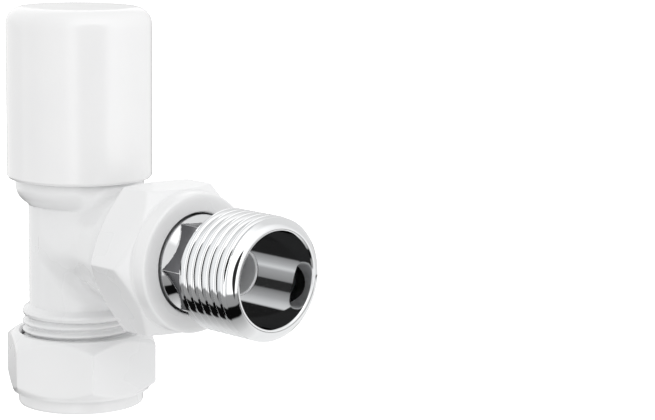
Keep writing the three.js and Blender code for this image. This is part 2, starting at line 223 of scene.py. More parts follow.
def level_surface(name, field, low, high, cell, place=ALONG_Z):
    """The surface where a field of (x, y, z) is zero, as a mesh of quads (surface nets).

    The field is negative inside. Corners of the net are moved onto the surface by its gradient,
    and the shading normals are taken from the gradient too.
    """
    axes = [np.arange(a, b + cell, cell) for a, b in zip(low, high)]
    x, y, z = np.meshgrid(*axes, indexing="ij")
    values = field(x, y, z)
    inside = values < 0
    shape = tuple(n - 1 for n in values.shape)
    total = np.zeros(shape)
    sums = np.zeros(shape + (3,))
    for axis in range(3):
        others = [k for k in range(3) if k != axis]
        near = np.take(values, range(0, values.shape[axis] - 1), axis)
        far = np.take(values, range(1, values.shape[axis]), axis)
        crossed = (near < 0) != (far < 0)
        at = np.where(crossed, near / np.where(crossed, near - far, 1), 0)
        for da in (0, 1):
            for db in (0, 1):
                part = [slice(None)] * 3
                part[others[0]] = slice(da, da + shape[others[0]])
                part[others[1]] = slice(db, db + shape[others[1]])
                hit = crossed[tuple(part)]
                total += hit
                sums[..., axis] += np.where(hit, at[tuple(part)], 0)
                sums[..., others[0]] += hit * da
                sums[..., others[1]] += hit * db
    used = total > 0
    index = np.full(shape, -1)
    index[used] = np.arange(used.sum())
    cells = np.argwhere(used)
    origin = np.array([a[0] for a in axes])
    points = origin + (cells + sums[used] / total[used][:, None]) * cell

    def gradient(p, h=0.02):
        parts = []
        for axis in range(3):
            move = np.zeros(3)
            move[axis] = h
            parts.append((field(*(p + move).T) - field(*(p - move).T)) / (2 * h))
        return np.stack(parts, 1)

    limit = 0.6 * cell
    start = points.copy()
    for _ in range(4):
        slope = gradient(points)
        size = np.maximum((slope ** 2).sum(1), 0.2)
        step = field(*points.T) / size
        points = points - 0.8 * slope * step[:, None]
        points = start + np.clip(points - start, -limit, limit)

    quads = []
    for axis in range(3):
        others = [k for k in range(3) if k != axis]
        near = np.take(inside, range(0, inside.shape[axis] - 1), axis)
        far = np.take(inside, range(1, inside.shape[axis]), axis)
        for rising in (True, False):
            crossing = (near & ~far) if rising else (~near & far)
            at = np.argwhere(crossing)
            at = at[(at[:, others[0]] > 0) & (at[:, others[1]] > 0)]
            ring = []
            for da, db in ((1, 1), (0, 1), (0, 0), (1, 0)):
                corner = at.copy()
                corner[:, others[0]] -= da
                corner[:, others[1]] -= db
                ring.append(index[tuple(corner.T)])
            quad = np.stack(ring, 1)
            flip = rising == (axis == 1)
            quads.append(quad[:, ::-1] if flip else quad)
    faces = np.concatenate(quads)
    faces = faces[(faces >= 0).all(1)]
    piece = finish_mesh(name, points, faces.tolist(), place, sharp=0)
    normals = gradient(points)
    normals /= np.maximum(np.linalg.norm(normals, axis=1), 1e-9)[:, None]
    turn = np.array(place.to_3x3())
    piece.data.normals_split_custom_set_from_vertices((normals @ turn.T).tolist())
    return piece


# ---------------------------------------------------------------- node materials

def new_material(name):
    material = bpy.data.materials.new(name)
    material.use_nodes = True
    nodes = material.node_tree.nodes
    return material, nodes, material.node_tree.links, nodes["Principled BSDF"]


def textured(nodes, links, kind, **values):
    """A texture node read in object coordinates, which are metres in the row frame."""
    place = nodes.new("ShaderNodeTexCoord")
    texture = nodes.new(kind)
    for key, value in values.items():
        texture.inputs[key.replace("_", " ")].default_value = value
    links.new(place.outputs["Object"], texture.inputs["Vector"])
    return texture


def spread(nodes, links, source, low, high):
    """Maps a texture's 0..1 to a small range."""
    span = nodes.new("ShaderNodeMapRange")
    span.inputs["To Min"].default_value = low
    span.inputs["To Max"].default_value = high
    links.new(source, span.inputs["Value"])
    return span.outputs["Result"]


def tinted(nodes, links, source, dark, light):
    """Mixes two close tints by a texture."""
    ramp = nodes.new("ShaderNodeValToRGB")
    ramp.color_ramp.elements[0].position = 0.3
    ramp.color_ramp.elements[0].color = (*dark, 1)
    ramp.color_ramp.elements[1].position = 0.7
    ramp.color_ramp.elements[1].color = (*light, 1)
    links.new(source, ramp.inputs["Fac"])
    return ramp.outputs["Color"]


def grey_ramp(nodes, links, source, low, high, stops):
    """A grey value read off a list of (where, value) stops along a source."""
    span = nodes.new("ShaderNodeMapRange")
    span.inputs["From Min"].default_value = low
    span.inputs["From Max"].default_value = high
    links.new(source, span.inputs["Value"])
    ramp = nodes.new("ShaderNodeValToRGB")
    elements = ramp.color_ramp.elements
    while len(elements) < len(stops):
        elements.new(0.5)
    for element, (where, value) in zip(elements, stops):
        element.position = (where - low) / (high - low)
        element.color = (value, value, value, 1)
    links.new(span.outputs["Result"], ramp.inputs["Fac"])
    return ramp.outputs["Color"]


def bumped(nodes, links, shader, source, strength, distance):
    bump = nodes.new("ShaderNodeBump")
    bump.inputs["Strength"].default_value = strength
    bump.inputs["Distance"].default_value = distance
    links.new(source, bump.inputs["Height"])
    links.new(bump.outputs["Normal"], shader.inputs["Normal"])


def coated_material(name, dark, light, rough, grain, strength):
    """A white finish under a thin coat, with a faint unevenness of tint, gloss and surface."""
    material, nodes, links, shader = new_material(name)
    cloud = textured(nodes, links, "ShaderNodeTexNoise", Scale=55.0, Detail=3.0)
    peel = textured(nodes, links, "ShaderNodeTexNoise", Scale=grain, Detail=2.0)
    links.new(tinted(nodes, links, cloud.outputs["Fac"], dark, light), shader.inputs["Base Color"])
    links.new(spread(nodes, links, cloud.outputs["Fac"], rough[0], rough[1]), shader.inputs["Roughness"])
    shader.inputs["Coat Weight"].default_value = 0.35
    shader.inputs["Coat Roughness"].default_value = 0.22
    bumped(nodes, links, shader, peel.outputs["Fac"], strength, 0.00006)
    return material


def bare_material(name, dark, light, rough, scale, strength, metallic=1.0):
    """An uncoated material, a metal unless told otherwise, with clouded tint and faint marks."""
    material, nodes, links, shader = new_material(name)
    cloud = textured(nodes, links, "ShaderNodeTexNoise", Scale=120.0, Detail=4.0)
    marks = textured(nodes, links, "ShaderNodeTexNoise", Scale=scale, Detail=3.0)
    shader.inputs["Metallic"].default_value = metallic
    links.new(tinted(nodes, links, cloud.outputs["Fac"], dark, light), shader.inputs["Base Color"])
    links.new(spread(nodes, links, marks.outputs["Fac"], rough[0], rough[1]), shader.inputs["Roughness"])
    bumped(nodes, links, shader, marks.outputs["Fac"], strength, 0.00003)
    return material


PAINT = coated_material("white_paint", (0.80, 0.805, 0.81), (0.84, 0.842, 0.845), (0.24, 0.32),
                        900.0, 0.10)
PLASTIC = coated_material("white_plastic", (0.83, 0.83, 0.835), (0.86, 0.86, 0.86), (0.20, 0.27),
                          500.0, 0.05)
CHROME = bare_material("chrome", (0.80, 0.81, 0.82), (0.84, 0.845, 0.85), (0.025, 0.05), 700.0, 0.015)
# milled flats: chrome a little rougher, its base colour darkened to 0.12-0.21 as a painted dark reflection
MILLED_PAINTED_REFLECTION = bare_material("milled_chrome_painted_reflection", (0.12, 0.12, 0.125), (0.21, 0.21, 0.22), (0.10, 0.16), 500.0, 0.03)
SATIN = bare_material("satin_chrome", (0.82, 0.83, 0.84), (0.90, 0.90, 0.91), (0.40, 0.50), 900.0, 0.10,
                      metallic=0.25)
BRASS = bare_material("brass", (0.60, 0.42, 0.17), (0.74, 0.55, 0.25), (0.22, 0.38), 1500.0, 0.2)
STEEL = bare_material("steel", (0.46, 0.47, 0.48), (0.58, 0.59, 0.60), (0.20, 0.34), 1800.0, 0.2)
RUBBER = bare_material("rubber", (0.010, 0.010, 0.011), (0.022, 0.022, 0.023), (0.50, 0.66), 1600.0, 0.5,
                       metallic=0.0)
PTFE = bare_material("ptfe", (0.74, 0.72, 0.66), (0.86, 0.85, 0.80), (0.42, 0.58), 2200.0, 0.6,
                     metallic=0.0)


def dress(piece, node, body, material):
    """Gives a piece its material and the body it rides on, and hides the CAD node it stands for."""
    piece.data.materials.append(material)
    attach(piece, body)
    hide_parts(node)


# ---------------------------------------------------------------- valve body

TUBE_R = 9.2
BODY_CREST_R = 10.45
BODY_THREAD_DEPTH = 0.8
BEAD_LOW_Z = 16.05
BOWL_LOW_Z = 36.35
BOWL_TOP_Z = 39.8
BOWL_CURVE_R = 3.45
HEAD_R = 11.45
HEAD_GROOVE_R = 10.55
NECK_THREAD_X = 19.3
CHAMBER_R = 7.2
WATERWAY_R = 5.2


def upright_radius(z, around):
    """Radius of the upright part: thread, bead, tube, flared bowl and head with the O-ring groove."""
    crest = BODY_CREST_R - BODY_THREAD_DEPTH * wave((z + 0.29) / FINE_PITCH - around) ** 1.3
    crest = 9.5 + (crest - 9.5) * np.clip((z - BODY_BOTTOM_Z) / 0.8, 0, 1)
    crest = np.minimum(crest, np.interp(z, [15.7, 15.95], [10.5, 9.75]))
    bead = np.interp(z, [BEAD_LOW_Z, 16.3, 16.75, 17.3, 17.75, 18.1],
                     [9.75, 10.25, BODY_CREST_R, 10.25, 9.6, TUBE_R])
    drop = np.clip(BOWL_TOP_Z - z, 0, BOWL_CURVE_R)
    bowl = 8.0 + np.sqrt(BOWL_CURVE_R ** 2 - drop ** 2)
    bowl = soft_max(bowl, TUBE_R, 1.1)
    head = np.interp(z, [42.4, 42.55, 43.65, 43.8, 45.3, 45.8],
                     [HEAD_R, HEAD_GROOVE_R, HEAD_GROOVE_R, HEAD_R, HEAD_R, 11.0])
    return np.select([z < BEAD_LOW_Z, z < BOWL_LOW_Z, z < BOWL_TOP_Z], [crest, bead, bowl], head)


def branch_radius(x, around):
    """Radius of the side branch, flaring to the union's male thread."""
    flare = np.interp(x, [0, 9, 11, 13.5, 15.5, 18.4, 19.0, NECK_THREAD_X],
                      [TUBE_R, TUBE_R, 9.4, 10.0, BODY_CREST_R, 10.5, 10.3, 9.65])
    ridge = BODY_CREST_R - BODY_THREAD_DEPTH * wave(x / FINE_PITCH - around) ** 1.3
    ends = np.clip((x - 20.2) / 0.7, 0, 1) * np.clip((NECK_END_X - x) / 0.7, 0, 1)
    return np.where(x > NECK_THREAD_X, 9.6 + (ridge - 9.6) * ends, flare)


def waterway_field(x, z, r, rho):
    """Negative in the pipe socket, seat and groove, chamber, bonnet bore and outlet."""
    bore = np.interp(z, [6, 7, 9.2, 16.9, 17.1, 21.6, 22.4, 25, 25.15, 36.5, 36.6, 44.4, 44.5, 47],
                     [9.6, 9.0, 7.6, 7.6, 6.0, 6.0, 4.2, 4.2, CHAMBER_R, CHAMBER_R, 8.0, 8.0, 9.35, 9.35])
    groove = np.maximum(np.maximum(5.4 - r, r - CHAMBER_R), np.abs(z - 24.6) - 0.8)
    outlet = np.interp(x, [0, 18.9, 19.05, 27.0, 27.6], [WATERWAY_R, WATERWAY_R, 7.5, 7.5, 7.8])
    return np.minimum(np.minimum(r - bore, groove), np.maximum(rho - outlet, 4 - x))


def body_field(x, y, z):
    """Negative inside the casting: upright and side branch, less the waterways through them."""
    r = np.hypot(x, y)
    v = z - TAIL_AXIS_Z
    rho = np.hypot(y, v)
    radius = upright_radius(z, np.arctan2(y, x) / (2 * np.pi))
    upright = np.maximum(r - radius, np.maximum(z - HEAD_TOP_Z, BODY_BOTTOM_Z - z))
    neck = branch_radius(x, np.arctan2(y, -v) / (2 * np.pi))
    branch = np.maximum(rho - neck, np.maximum(x - NECK_END_X, -x))
    # the blend in the valley widens along the branch
    along = np.clip((x + 1.5) / 9, 0, 1)
    valley = 0.3 + 2.7 * along * along * (3 - 2 * along)
    solid = np.where(x > 17, branch, soft_min(upright, branch, valley))
    return soft_max(solid, -waterway_field(x, z, r, rho), 0.3)


def make_body():
    body = level_surface("body_casting", body_field, (-12.2, -12.2, 6.6), (28.2, 12.2, 46.4), 0.27)
    dress(body, "valve_body", "body", PAINT)


# ---------------------------------------------------------------- nuts

FLAT_R = NUT_FLATS / 2
CORNER_R = FLAT_R / math.cos(math.pi / 6)
PAST_CORNER_R = CORNER_R + 0.5
CHAMFER_R = 12.45
NUT_COLUMNS = 44
NUT_THREAD_R = 10.7
NUT_THREAD_DEPTH = 0.45
NUT_THREAD_STEP = 0.17
NUT_MOUTH = (10.75, 11.2)
COLLAR_R = 11.25
BOSS_R = 12.1
BOSS_BORE_R = 8.75


def hex_angles(count, turn):
    """Angles round a hexagon, crowded near its corners."""
    u = np.arange(count) / count
    sector = math.radians(60) * (u - 0.8 * np.sin(2 * np.pi * u) / (2 * np.pi))
    return np.concatenate([turn + k * math.radians(60) + sector for k in range(6)])


def hex_rows(angles, outline, flats, turn, corner, blend):
    """Rows of a hexagon whose corners are turned down to an outline of (radius, height)."""
    hexagon = polygon_radius(angles, 6, flats, corner, turn)
    return [(soft_min(hexagon, radius, blend), height) for radius, height in outline]


def nut_thread(start, end, angles):
    """Rows of a female thread, downward from its start to its end."""
    count = math.ceil(abs(end - start) / NUT_THREAD_STEP)
    rows = []
    for i in range(count + 1):
        height = start + (end - start) * i / count
        fade = min(1.0, abs(height - start) / 0.7, abs(height - end) / 0.7)
        phase = height / FINE_PITCH - angles / (2 * math.pi)
        rows.append((NUT_THREAD_R + NUT_THREAD_DEPTH * fade * wave(phase) ** 1.5, height))
    return rows


def make_union_nut():
    """Chamfered hexagon, round boss in front, thread and wall inside."""
    turn = math.pi / 2
    angles = hex_angles(NUT_COLUMNS, turn)
    back, front, step_x = UNION_BACK_X, UNION_FRONT_X, UNION_FRONT_X - 3.0
    outer = profile([(FLAT_R - 0.6, back), (FLAT_R - 0.3, back, 0.4), (PAST_CORNER_R, back + 2.0, 1.2),
                     (PAST_CORNER_R, step_x - 2.6, 1.2), (CHAMFER_R, step_x)], 0.35)
    rows = hex_rows(angles, outer, NUT_FLATS, turn, 0.25, 0.4)
    boss = profile([(12.4, step_x), (12.2, step_x + 0.05, 0.1), (BOSS_R, step_x + 0.3, 0.2),
                    (BOSS_R, front - 0.1, 0.9), (11.15, front, 0.3), (8.95, front, 0.25),
                    (BOSS_BORE_R, front - 0.25, 0.2), (BOSS_BORE_R, front - 2.5, 0.2),
                    (10.6, front - 2.5)], 0.3)
    rows += boss[1:]
    rows += nut_thread(front - 2.7, back + 0.7, angles)
    rows += spaced([(NUT_MOUTH[0], back + 0.6), (NUT_MOUTH[1], back)], 0.3)
    nut = swept("union_nut_body", rows, angles, ALONG_X, closed=True, sharp=50)
    dress(nut, "union_nut", "union_nut", PAINT)


def make_compression_nut():
    """Chamfered hexagon on a round collar, thread and shoulder inside."""
    turn = math.pi / 6
    angles = hex_angles(NUT_COLUMNS, turn)
    top = NUT_TOP_Z
    rows = profile([(7.9, 0), (11.1, 0, 0.2), (COLLAR_R, 0.3, 0.2), (COLLAR_R, 2.3, 0.25),
                    (FLAT_R - 0.2, 2.45, 0.4)], 0.35)
    outer = profile([(FLAT_R - 0.15, 2.45), (FLAT_R, 2.9, 0.5), (PAST_CORNER_R, 4.8, 1.2),
                     (PAST_CORNER_R, top - 2.3, 1.3), (CHAMFER_R, top - 0.35, 0.4), (12.0, top, 0.3),
                     (NUT_MOUTH[1], top)], 0.35)
    rows += hex_rows(angles, outer, NUT_FLATS, turn, 0.25, 0.4)
    rows += spaced([(NUT_MOUTH[1], top), (NUT_MOUTH[0], top - 0.45)], 0.3)
    rows += nut_thread(top - 0.5, 5.0, angles)
    rows += profile([(10.65, 4.9), (10.65, 4.6, 0.2), (9.4, 4.6, 0.2), (7.8, 3.0, 0.3),
                     (7.8, 0.3, 0.2)], 0.5)
    nut = swept("compression_nut_body", rows, angles, ALONG_Z, closed=True, sharp=50)
    dress(nut, "compression_nut", "compression_nut", PAINT)


# ---------------------------------------------------------------- tail

SPIGOT_R = 7.35
BARREL_R = 8.46
MILLED_FLATS = 14.65
MILLED_START_X = 32.55
THREAD_START_X = 38.5
THREAD_TURNS = 6.62
TAIL_CREST_R = 10.4775
TAIL_THREAD_DEPTH = 1.15
BORE_R = 8.13
BORE_FLOOR_X = 42.9
HOLE_R = 3.65


def spigot_rows():
    """Back end, O-ring groove, shoulder, snap-ring groove and plain barrel."""
    return profile([
        (WATERWAY_R, TAIL_BACK_X), (7.0, TAIL_BACK_X, 0.2), (SPIGOT_R, TAIL_BACK_X + 0.5, 0.3),
        (SPIGOT_R, 23.2, 0.1), (6.3, 23.2, 0.15), (6.3, 24.8, 0.15), (SPIGOT_R, 24.8, 0.1),
        (SPIGOT_R, 27.9, 0.15), (BARREL_R, 27.9, 0.2), (BARREL_R, 28.65, 0.1), (7.7, 28.65, 0.1),
        (7.7, 29.5, 0.1), (BARREL_R, 29.5, 0.1), (BARREL_R, 32.5)], 0.5)


def milled_rows(angles):
    """The hexagon that is milled into the barrel."""
    hexagon = polygon_radius(angles, 6, MILLED_FLATS, 0.12, math.pi / 2)
    rows = []
    for x in np.arange(MILLED_START_X, THREAD_START_X, 0.09):
        run_out = BARREL_R - np.clip(x - MILLED_START_X, 0, 3) * 0.75
        rows.append((soft_min(soft_max(hexagon, run_out, 0.12), BARREL_R, 0.05), x))
    return rows


def tail_thread_rows(angles):
    """The helical thread and the chamfer in front of it."""
    last = THREAD_START_X + THREAD_TURNS * TAIL_PITCH
    rows = []
    for x in np.arange(THREAD_START_X, TAIL_FRONT_X - 0.02, 0.1):
        phase = (x - THREAD_START_X) / TAIL_PITCH - angles / (2 * math.pi) + 0.12
        cut = wave(phase) ** 2.1
        cut *= np.clip((last - x) / 0.5, 0, 1)
        radius = TAIL_CREST_R - TAIL_THREAD_DEPTH * cut
        radius = np.minimum(radius, 8.3 + (x - THREAD_START_X) * 3.2)
        back = TAIL_FRONT_X - x
        chamfer = 9.32 + 0.92 * back - 0.38 * math.exp(-back / 0.12)
        rows.append((soft_min(radius, chamfer, 0.3), x))
    return rows


def bore_rows():
    """Lip, bore, its flat floor and the hole through it to the waterway."""
    return profile([
        (8.94, TAIL_FRONT_X - 0.02), (8.80, TAIL_FRONT_X, 0.05), (8.28, TAIL_FRONT_X, 0.1),
        (BORE_R, TAIL_FRONT_X - 0.2, 0.1), (BORE_R, BORE_FLOOR_X), (3.9, BORE_FLOOR_X),
        (3.9, BORE_FLOOR_X - 0.15), (HOLE_R, 42.5), (HOLE_R, 36.0, 0.5), (WATERWAY_R, 34.0, 0.5),
        (WATERWAY_R, TAIL_BACK_X)], 0.6)


def make_tail():
    """The tail, polished but for its milled flats, which get a painted dark reflection, and the waterway
    inside.
    """
    angles = hex_angles(48, math.pi / 2)
    rows = spigot_rows() + milled_rows(angles) + tail_thread_rows(angles) + bore_rows()
    tail = swept("tail_body", rows, angles, ALONG_X, closed=True, sharp=40)
    dress(tail, "tail", "tail_assembly", CHROME)
    tail.data.materials.append(MILLED_PAINTED_REFLECTION)
    tail.data.materials.append(SATIN)
    for face in tail.data.polygons:
        x = face.center.x / MM
        out = math.hypot(face.center.y / MM, face.center.z / MM - TAIL_AXIS_Z)
        # the milled flats take the chrome whose dark base colour is a painted reflection
        if 32.6 < x < 38.45 and out < 8.42 and abs(face.normal.x) < 0.3:
            face.material_index = 1
        elif out < 5.3 and x < 42.8:
            face.material_index = 2


# ---------------------------------------------------------------- rings and O-rings

STEM_BORE_R = 3.25
GLAND_RING_R = 4.75


def circle(radius, height, thick, count=16):
    """Round section of a cord: radius and height of its centre, and its own radius."""
    turns = [2 * math.pi * i / count for i in range(count)]
    return [(radius + thick * math.cos(turn), height + thick * math.sin(turn)) for turn in turns]


def flat_ring(inner, outer, low, high, edge=0.1):
    return [(inner, low, edge), (outer, low, edge), (outer, high, edge), (inner, high, edge)]


def make_o_rings():
    for node, owner, outline, place in (
            ("cap_o_ring", "body", circle(11.12, 43.1, 0.5), ALONG_Z),
            ("bonnet_o_ring", "body", circle(8.6, 45.15, 0.5), ALONG_Z),
            ("spindle_o_ring", "body", circle(3.68, 48.6, 0.4), ALONG_Z),
            ("tail_o_ring", "tail_assembly", circle(6.88, 24.0, 0.52), ALONG_X)):
        ring = swept(node + "_cord", outline, RING_COLUMNS, place, closed=True)
        dress(ring, node, owner, RUBBER)


def make_turned_rings():
    olive = [(7.6, 3.5), (7.95, 3.5, 0.15), (8.75, 5.2, 0.4), (8.75, 6.4, 0.4), (7.95, 8.3, 0.15),
             (7.6, 8.3)]
    for name, node, owner, outline, material, slot in (
            ("gland_washer_ring", "gland_washer", "body",
             flat_ring(STEM_BORE_R, GLAND_RING_R, 50.6, 51.2), BRASS, "brass"),
            ("gland_packing_ring", "gland_packing", "body",
             flat_ring(STEM_BORE_R, GLAND_RING_R, 51.3, 52.9, 0.3), PTFE, "ptfe"),
            ("seat_washer_ring", "seat_washer", "disc_assembly",
             flat_ring(1.65, 5.0, 25.3, 27.5, 0.2), RUBBER, "rubber"),
            ("olive_ring", "olive", "olive", olive, BRASS, "brass")):
        dress(turned(name, outline), node, owner, material)


def make_split_rings():
    """Rings of steel with a gap, each given by the angles where its arc starts and ends."""
    for name, node, owner, outline, first, last, count, place in (
            ("disc_retaining_clip", "disc_retaining_ring", "disc_assembly",
             flat_ring(2.3, 3.05, 31.7, 32.2), 12, 348, 90, ALONG_Z),
            ("union_snap_clip", "union_snap_ring", "tail_assembly",
             flat_ring(7.78, 9.6, 28.75, 29.4), -90 + 12.5, 270 - 12.5, 120, ALONG_X)):
        arc = np.radians(np.linspace(first, last, count))
        ring = swept(name, profile(outline, 1.0, closed=True), arc, place, closed=True, split=True)
        dress(ring, node, owner, STEEL)


# ---------------------------------------------------------------- headwork

BONNET_THREAD_R = 7.9
FOOT_R = 2.6
LIFT_THREAD_R = 4.6
STEM_R = 3.15
SQUARE_LOW_Z = 59.1
DISC_BORE_R = 2.75
SCREW_HOLE_R = 1.65
SHANK_R = 1.55


def fine_thread(low, high, crest, depth, pitch, angles):
    """Rows of a male thread, upward, faded at both ends."""
    rows = []
    for height in np.arange(low, high, pitch / 9):
        fade = min(1.0, (height - low) / 0.4, (high - height) / 0.4)
        phase = height / pitch - angles / (2 * math.pi)
        rows.append((crest - depth * fade * wave(phase), height))
    return rows


def make_bonnet():
    """Thread, shoulder, hexagon, gland housing and the bore with its O-ring groove."""
    angles = hex_angles(20, 0.0)
    rows = profile([(4.7, 36.9), (7.4, 36.9, 0.2), (BONNET_THREAD_R, 37.4, 0.2)], 0.5)
    rows += fine_thread(37.5, 44.3, BONNET_THREAD_R, 0.4, 1.0, angles)
    rows += profile([(BONNET_THREAD_R, 44.4), (BONNET_THREAD_R, 46.1, 0.1), (8.3, 46.1)], 0.5)
    outer = profile([(8.35, 46.1), (9.9, 46.9, 0.4), (9.9, 49.2, 0.4), (8.3, 50.1, 0.3)], 0.4)
    rows += hex_rows(angles, outer, 17, 0, 0.3, 0.2)
    rows += profile([
        (8.2, 50.1), (6.3, 50.1, 0.3), (6.3, 55.8, 0.4), (4.9, 55.8, 0.2), (4.9, 50.5, 0.1),
        (STEM_BORE_R, 50.5, 0.1), (STEM_BORE_R, 49.2, 0.1), (4.1, 49.2, 0.1), (4.1, 48, 0.1),
        (STEM_BORE_R, 48, 0.1), (STEM_BORE_R, 46.5, 0.1), (4.7, 46.5, 0.1)], 0.6)
    bonnet = swept("bonnet_body", rows, angles, ALONG_Z, closed=True, sharp=40)
    dress(bonnet, "bonnet", "body", BRASS)


def make_gland_nut():
    """Short threaded spigot under a small hexagon."""
    angles = hex_angles(20, 0.0)
    rows = profile([(STEM_BORE_R, 53), (4.6, 53, 0.1), (4.8, 53.3, 0.1)], 0.5)
    rows += fine_thread(53.4, 56.0, 4.8, 0.25, 0.75, angles)
    rows += [(4.8, 56.1), (5.3, 56.1)]
    outer = profile([(5.4, 56.1), (6.45, 56.6, 0.3), (6.45, 58.1, 0.3), (5.2, 58.7, 0.2)], 0.3)
    rows += hex_rows(angles, outer, 11, 0, 0.25, 0.2)
    rows += profile([(5.0, 58.7), (3.55, 58.7, 0.1), (STEM_BORE_R, 58.4, 0.1)], 0.5)
    gland = swept("gland_nut_body", rows, angles, ALONG_Z, closed=True, sharp=40)
    dress(gland, "gland_nut", "body", BRASS)


def make_spindle():
    """Swivel foot, lifting thread, stem and a key square on top."""
    angles = np.arange(128) * 2 * math.pi / 128
    square = polygon_radius(angles, 4, 4.4, 0.2, math.pi / 4)
    rows = profile([
        (0, 30.6), (2.4, 30.6, 0.1), (FOOT_R, 30.8, 0.1), (FOOT_R, 31.6, 0.05), (2.2, 31.6, 0.05),
        (2.2, 32.3, 0.05), (FOOT_R, 32.3, 0.05), (FOOT_R, 36.9, 0.1), (4.3, 36.9, 0.1),
        (LIFT_THREAD_R, 37.2)], 0.5)
    rows += fine_thread(37.3, 41.3, LIFT_THREAD_R, 0.45, FINE_PITCH, angles)
    rows += profile([(LIFT_THREAD_R, 41.4), (4.3, 41.7, 0.1), (STEM_R, 41.7, 0.2),
                     (STEM_R, SQUARE_LOW_Z, 0.1)], 0.6)
    for height in np.arange(SQUARE_LOW_Z, SPINDLE_TOP_Z - 0.05, 0.15):
        round_part = STEM_R - 0.5 * max(0.0, height - (SPINDLE_TOP_Z - 0.6))
        run_out = STEM_R - 3.0 * (height - SQUARE_LOW_Z)
        rows.append((np.minimum(round_part, np.maximum(square, run_out)), height))
    rows += [(np.minimum(square, 2.8), SPINDLE_TOP_Z), (1.2, SPINDLE_TOP_Z), (0, SPINDLE_TOP_Z)]
    spindle = swept("spindle_shaft", rows, angles, ALONG_Z, sharp=40)
    dress(spindle, "spindle", "spindle", BRASS)


def make_disc():
    """Cup for the seat washer, and a neck with a groove for the retaining ring."""
    disc = turned("valve_disc_body", [
        (SCREW_HOLE_R, 27.6, 0.1), (5.1, 27.6, 0.1), (5.1, 26.4, 0.05), (5.5, 26.4, 0.1), (5.5, 29.4, 0.3),
        (4.2, 30.6, 0.4), (4.2, 33.4, 0.3), (DISC_BORE_R, 33.4, 0.1), (DISC_BORE_R, 32.35, 0.05),
        (3.15, 32.35, 0.05), (3.15, 31.55, 0.05), (DISC_BORE_R, 31.55, 0.05), (DISC_BORE_R, 30.3, 0.1),
        (SCREW_HOLE_R, 30.3, 0.1)])
    dress(disc, "valve_disc", "disc_assembly", BRASS)


def screw_field(x, y, z):
    """Washer screw: domed head with a straight slot, and a threaded shank."""
    r = np.hypot(x, y)
    phase = z / 0.6 - np.arctan2(y, x) / (2 * np.pi)
    shank = SHANK_R - 0.2 * wave(phase) * (z > 25.6)
    head = np.interp(z, [24.1, 24.4, 25.05, 25.15], [2.4, 2.7, 2.7, SHANK_R])
    solid = np.maximum(r - np.where(z < 25.15, head, shank), np.abs(z - 27) - 2.9)
    return soft_max(solid, -np.maximum(np.abs(x) - 0.35, z - 24.5), 0.1)


def make_screw():
    screw = level_surface("washer_screw_body", screw_field, (-3, -3, 23.8), (3, 3, 30.2), 0.11)
    dress(screw, "washer_screw", "disc_assembly", BRASS)


# ---------------------------------------------------------------- cap

CAP_R = 12.9
CAP_BORE_R = 11.75
CEILING_Z = 69.7
RIBS = 6
RIB_HEIGHT = 1.3


def make_cap():
    """Plain round cap with a rounded top edge, and ribs inside that grip the head."""
    angles = np.arange(240) * 2 * math.pi / 240
    across = (angles / (2 * math.pi) * RIBS % 1 - 0.5) * 2 * math.pi / RIBS * 11.2
    rib = np.clip((0.85 - np.abs(across)) / 0.35, 0, 1)
    rows = profile([(CAP_BORE_R, CAP_BOTTOM_Z), (12.6, CAP_BOTTOM_Z, 0.2),
                    (CAP_R, CAP_BOTTOM_Z + 0.45, 0.4)], 0.4)
    rows += profile([(CAP_R, CAP_BOTTOM_Z + 0.6), (CAP_R, CAP_TOP_Z, 3.0), (0, CAP_TOP_Z)], 1.2)
    rows += [(0, CEILING_Z)]
    rows += profile([(0.5, CEILING_Z), (CAP_BORE_R, CEILING_Z, 1.5), (CAP_BORE_R, 69.0)], 1.2)
    for height in np.arange(69.0, 52.4, -0.4):
        rise = float(np.clip((height - 52.6) / 1.0, 0, 1)) ** 0.5
        rows.append((CAP_BORE_R - RIB_HEIGHT * rib * rise, height))
    rows += spaced([(CAP_BORE_R, 52.2), (CAP_BORE_R, CAP_BOTTOM_Z)], 1.2)[:-1]
    cap = swept("cap_shell", rows, angles, ALONG_Z, closed=True, sharp=50)
    dress(cap, "lockshield_cap", "cap", PLASTIC)


# ---------------------------------------------------------------- floor, light and camera

SURROUND = 0.85
SOFTBOX = 1.75
SOFTBOX_EDGE = (0.829, 0.559, 0)
SOFTBOX_REACH = (0.80, -0.60, 0)
STRAIGHT_ON = (-0.735, 0.645, -0.205)
FLAG = (0.95, -0.305, 0.05)
FROM_THE_RIGHT = (0.76, 0.60, 0.25)
FAN_Y, FAN_Z = 0.66, -0.20
NOTHING = (0, 0, 0, 1)
FAR_SHADE = (0.015, 0.015, 0.015, 1)
VIEW_SHADE = (0.02, 0.02, 0.02, 1)
FLAG_SHADE = (0.03, 0.03, 0.03, 1)
WHITE = (1, 1, 1, 1)
FLOOR_REACH = 1.5
FLOOR_DROP = 0.0065


def mixed(nodes, links, factor, first, second):
    """The first colour where the factor is 0 and the second where it is 1."""
    mix = nodes.new("ShaderNodeMix")
    mix.data_type = "RGBA"
    links.new(factor, mix.inputs["Factor"])
    for socket, value in (("A", first), ("B", second)):
        if isinstance(value, tuple):
            mix.inputs[socket].default_value = value
        else:
            links.new(value, mix.inputs[socket])
    return mix.outputs["Result"]


def toward(nodes, links, direction, way, stops):
    """A grey value by how far each direction of the world leans toward a given way, -1 to 1."""
    dot = nodes.new("ShaderNodeVectorMath")
    dot.operation = "DOT_PRODUCT"
    dot.inputs[1].default_value = way
    links.new(direction, dot.inputs[0])
    return grey_ramp(nodes, links, dot.outputs["Value"], -1, 1, stops)


def combined(nodes, links, operation, first, second):
    """A sum, a comparison or the like, of a source with a number or with another source."""
    maths = nodes.new("ShaderNodeMath")
    maths.operation = operation
    links.new(first, maths.inputs[0])
    if isinstance(second, (int, float)):
        maths.inputs[1].default_value = second
    else:
        links.new(second, maths.inputs[1])
    return maths.outputs["Value"]


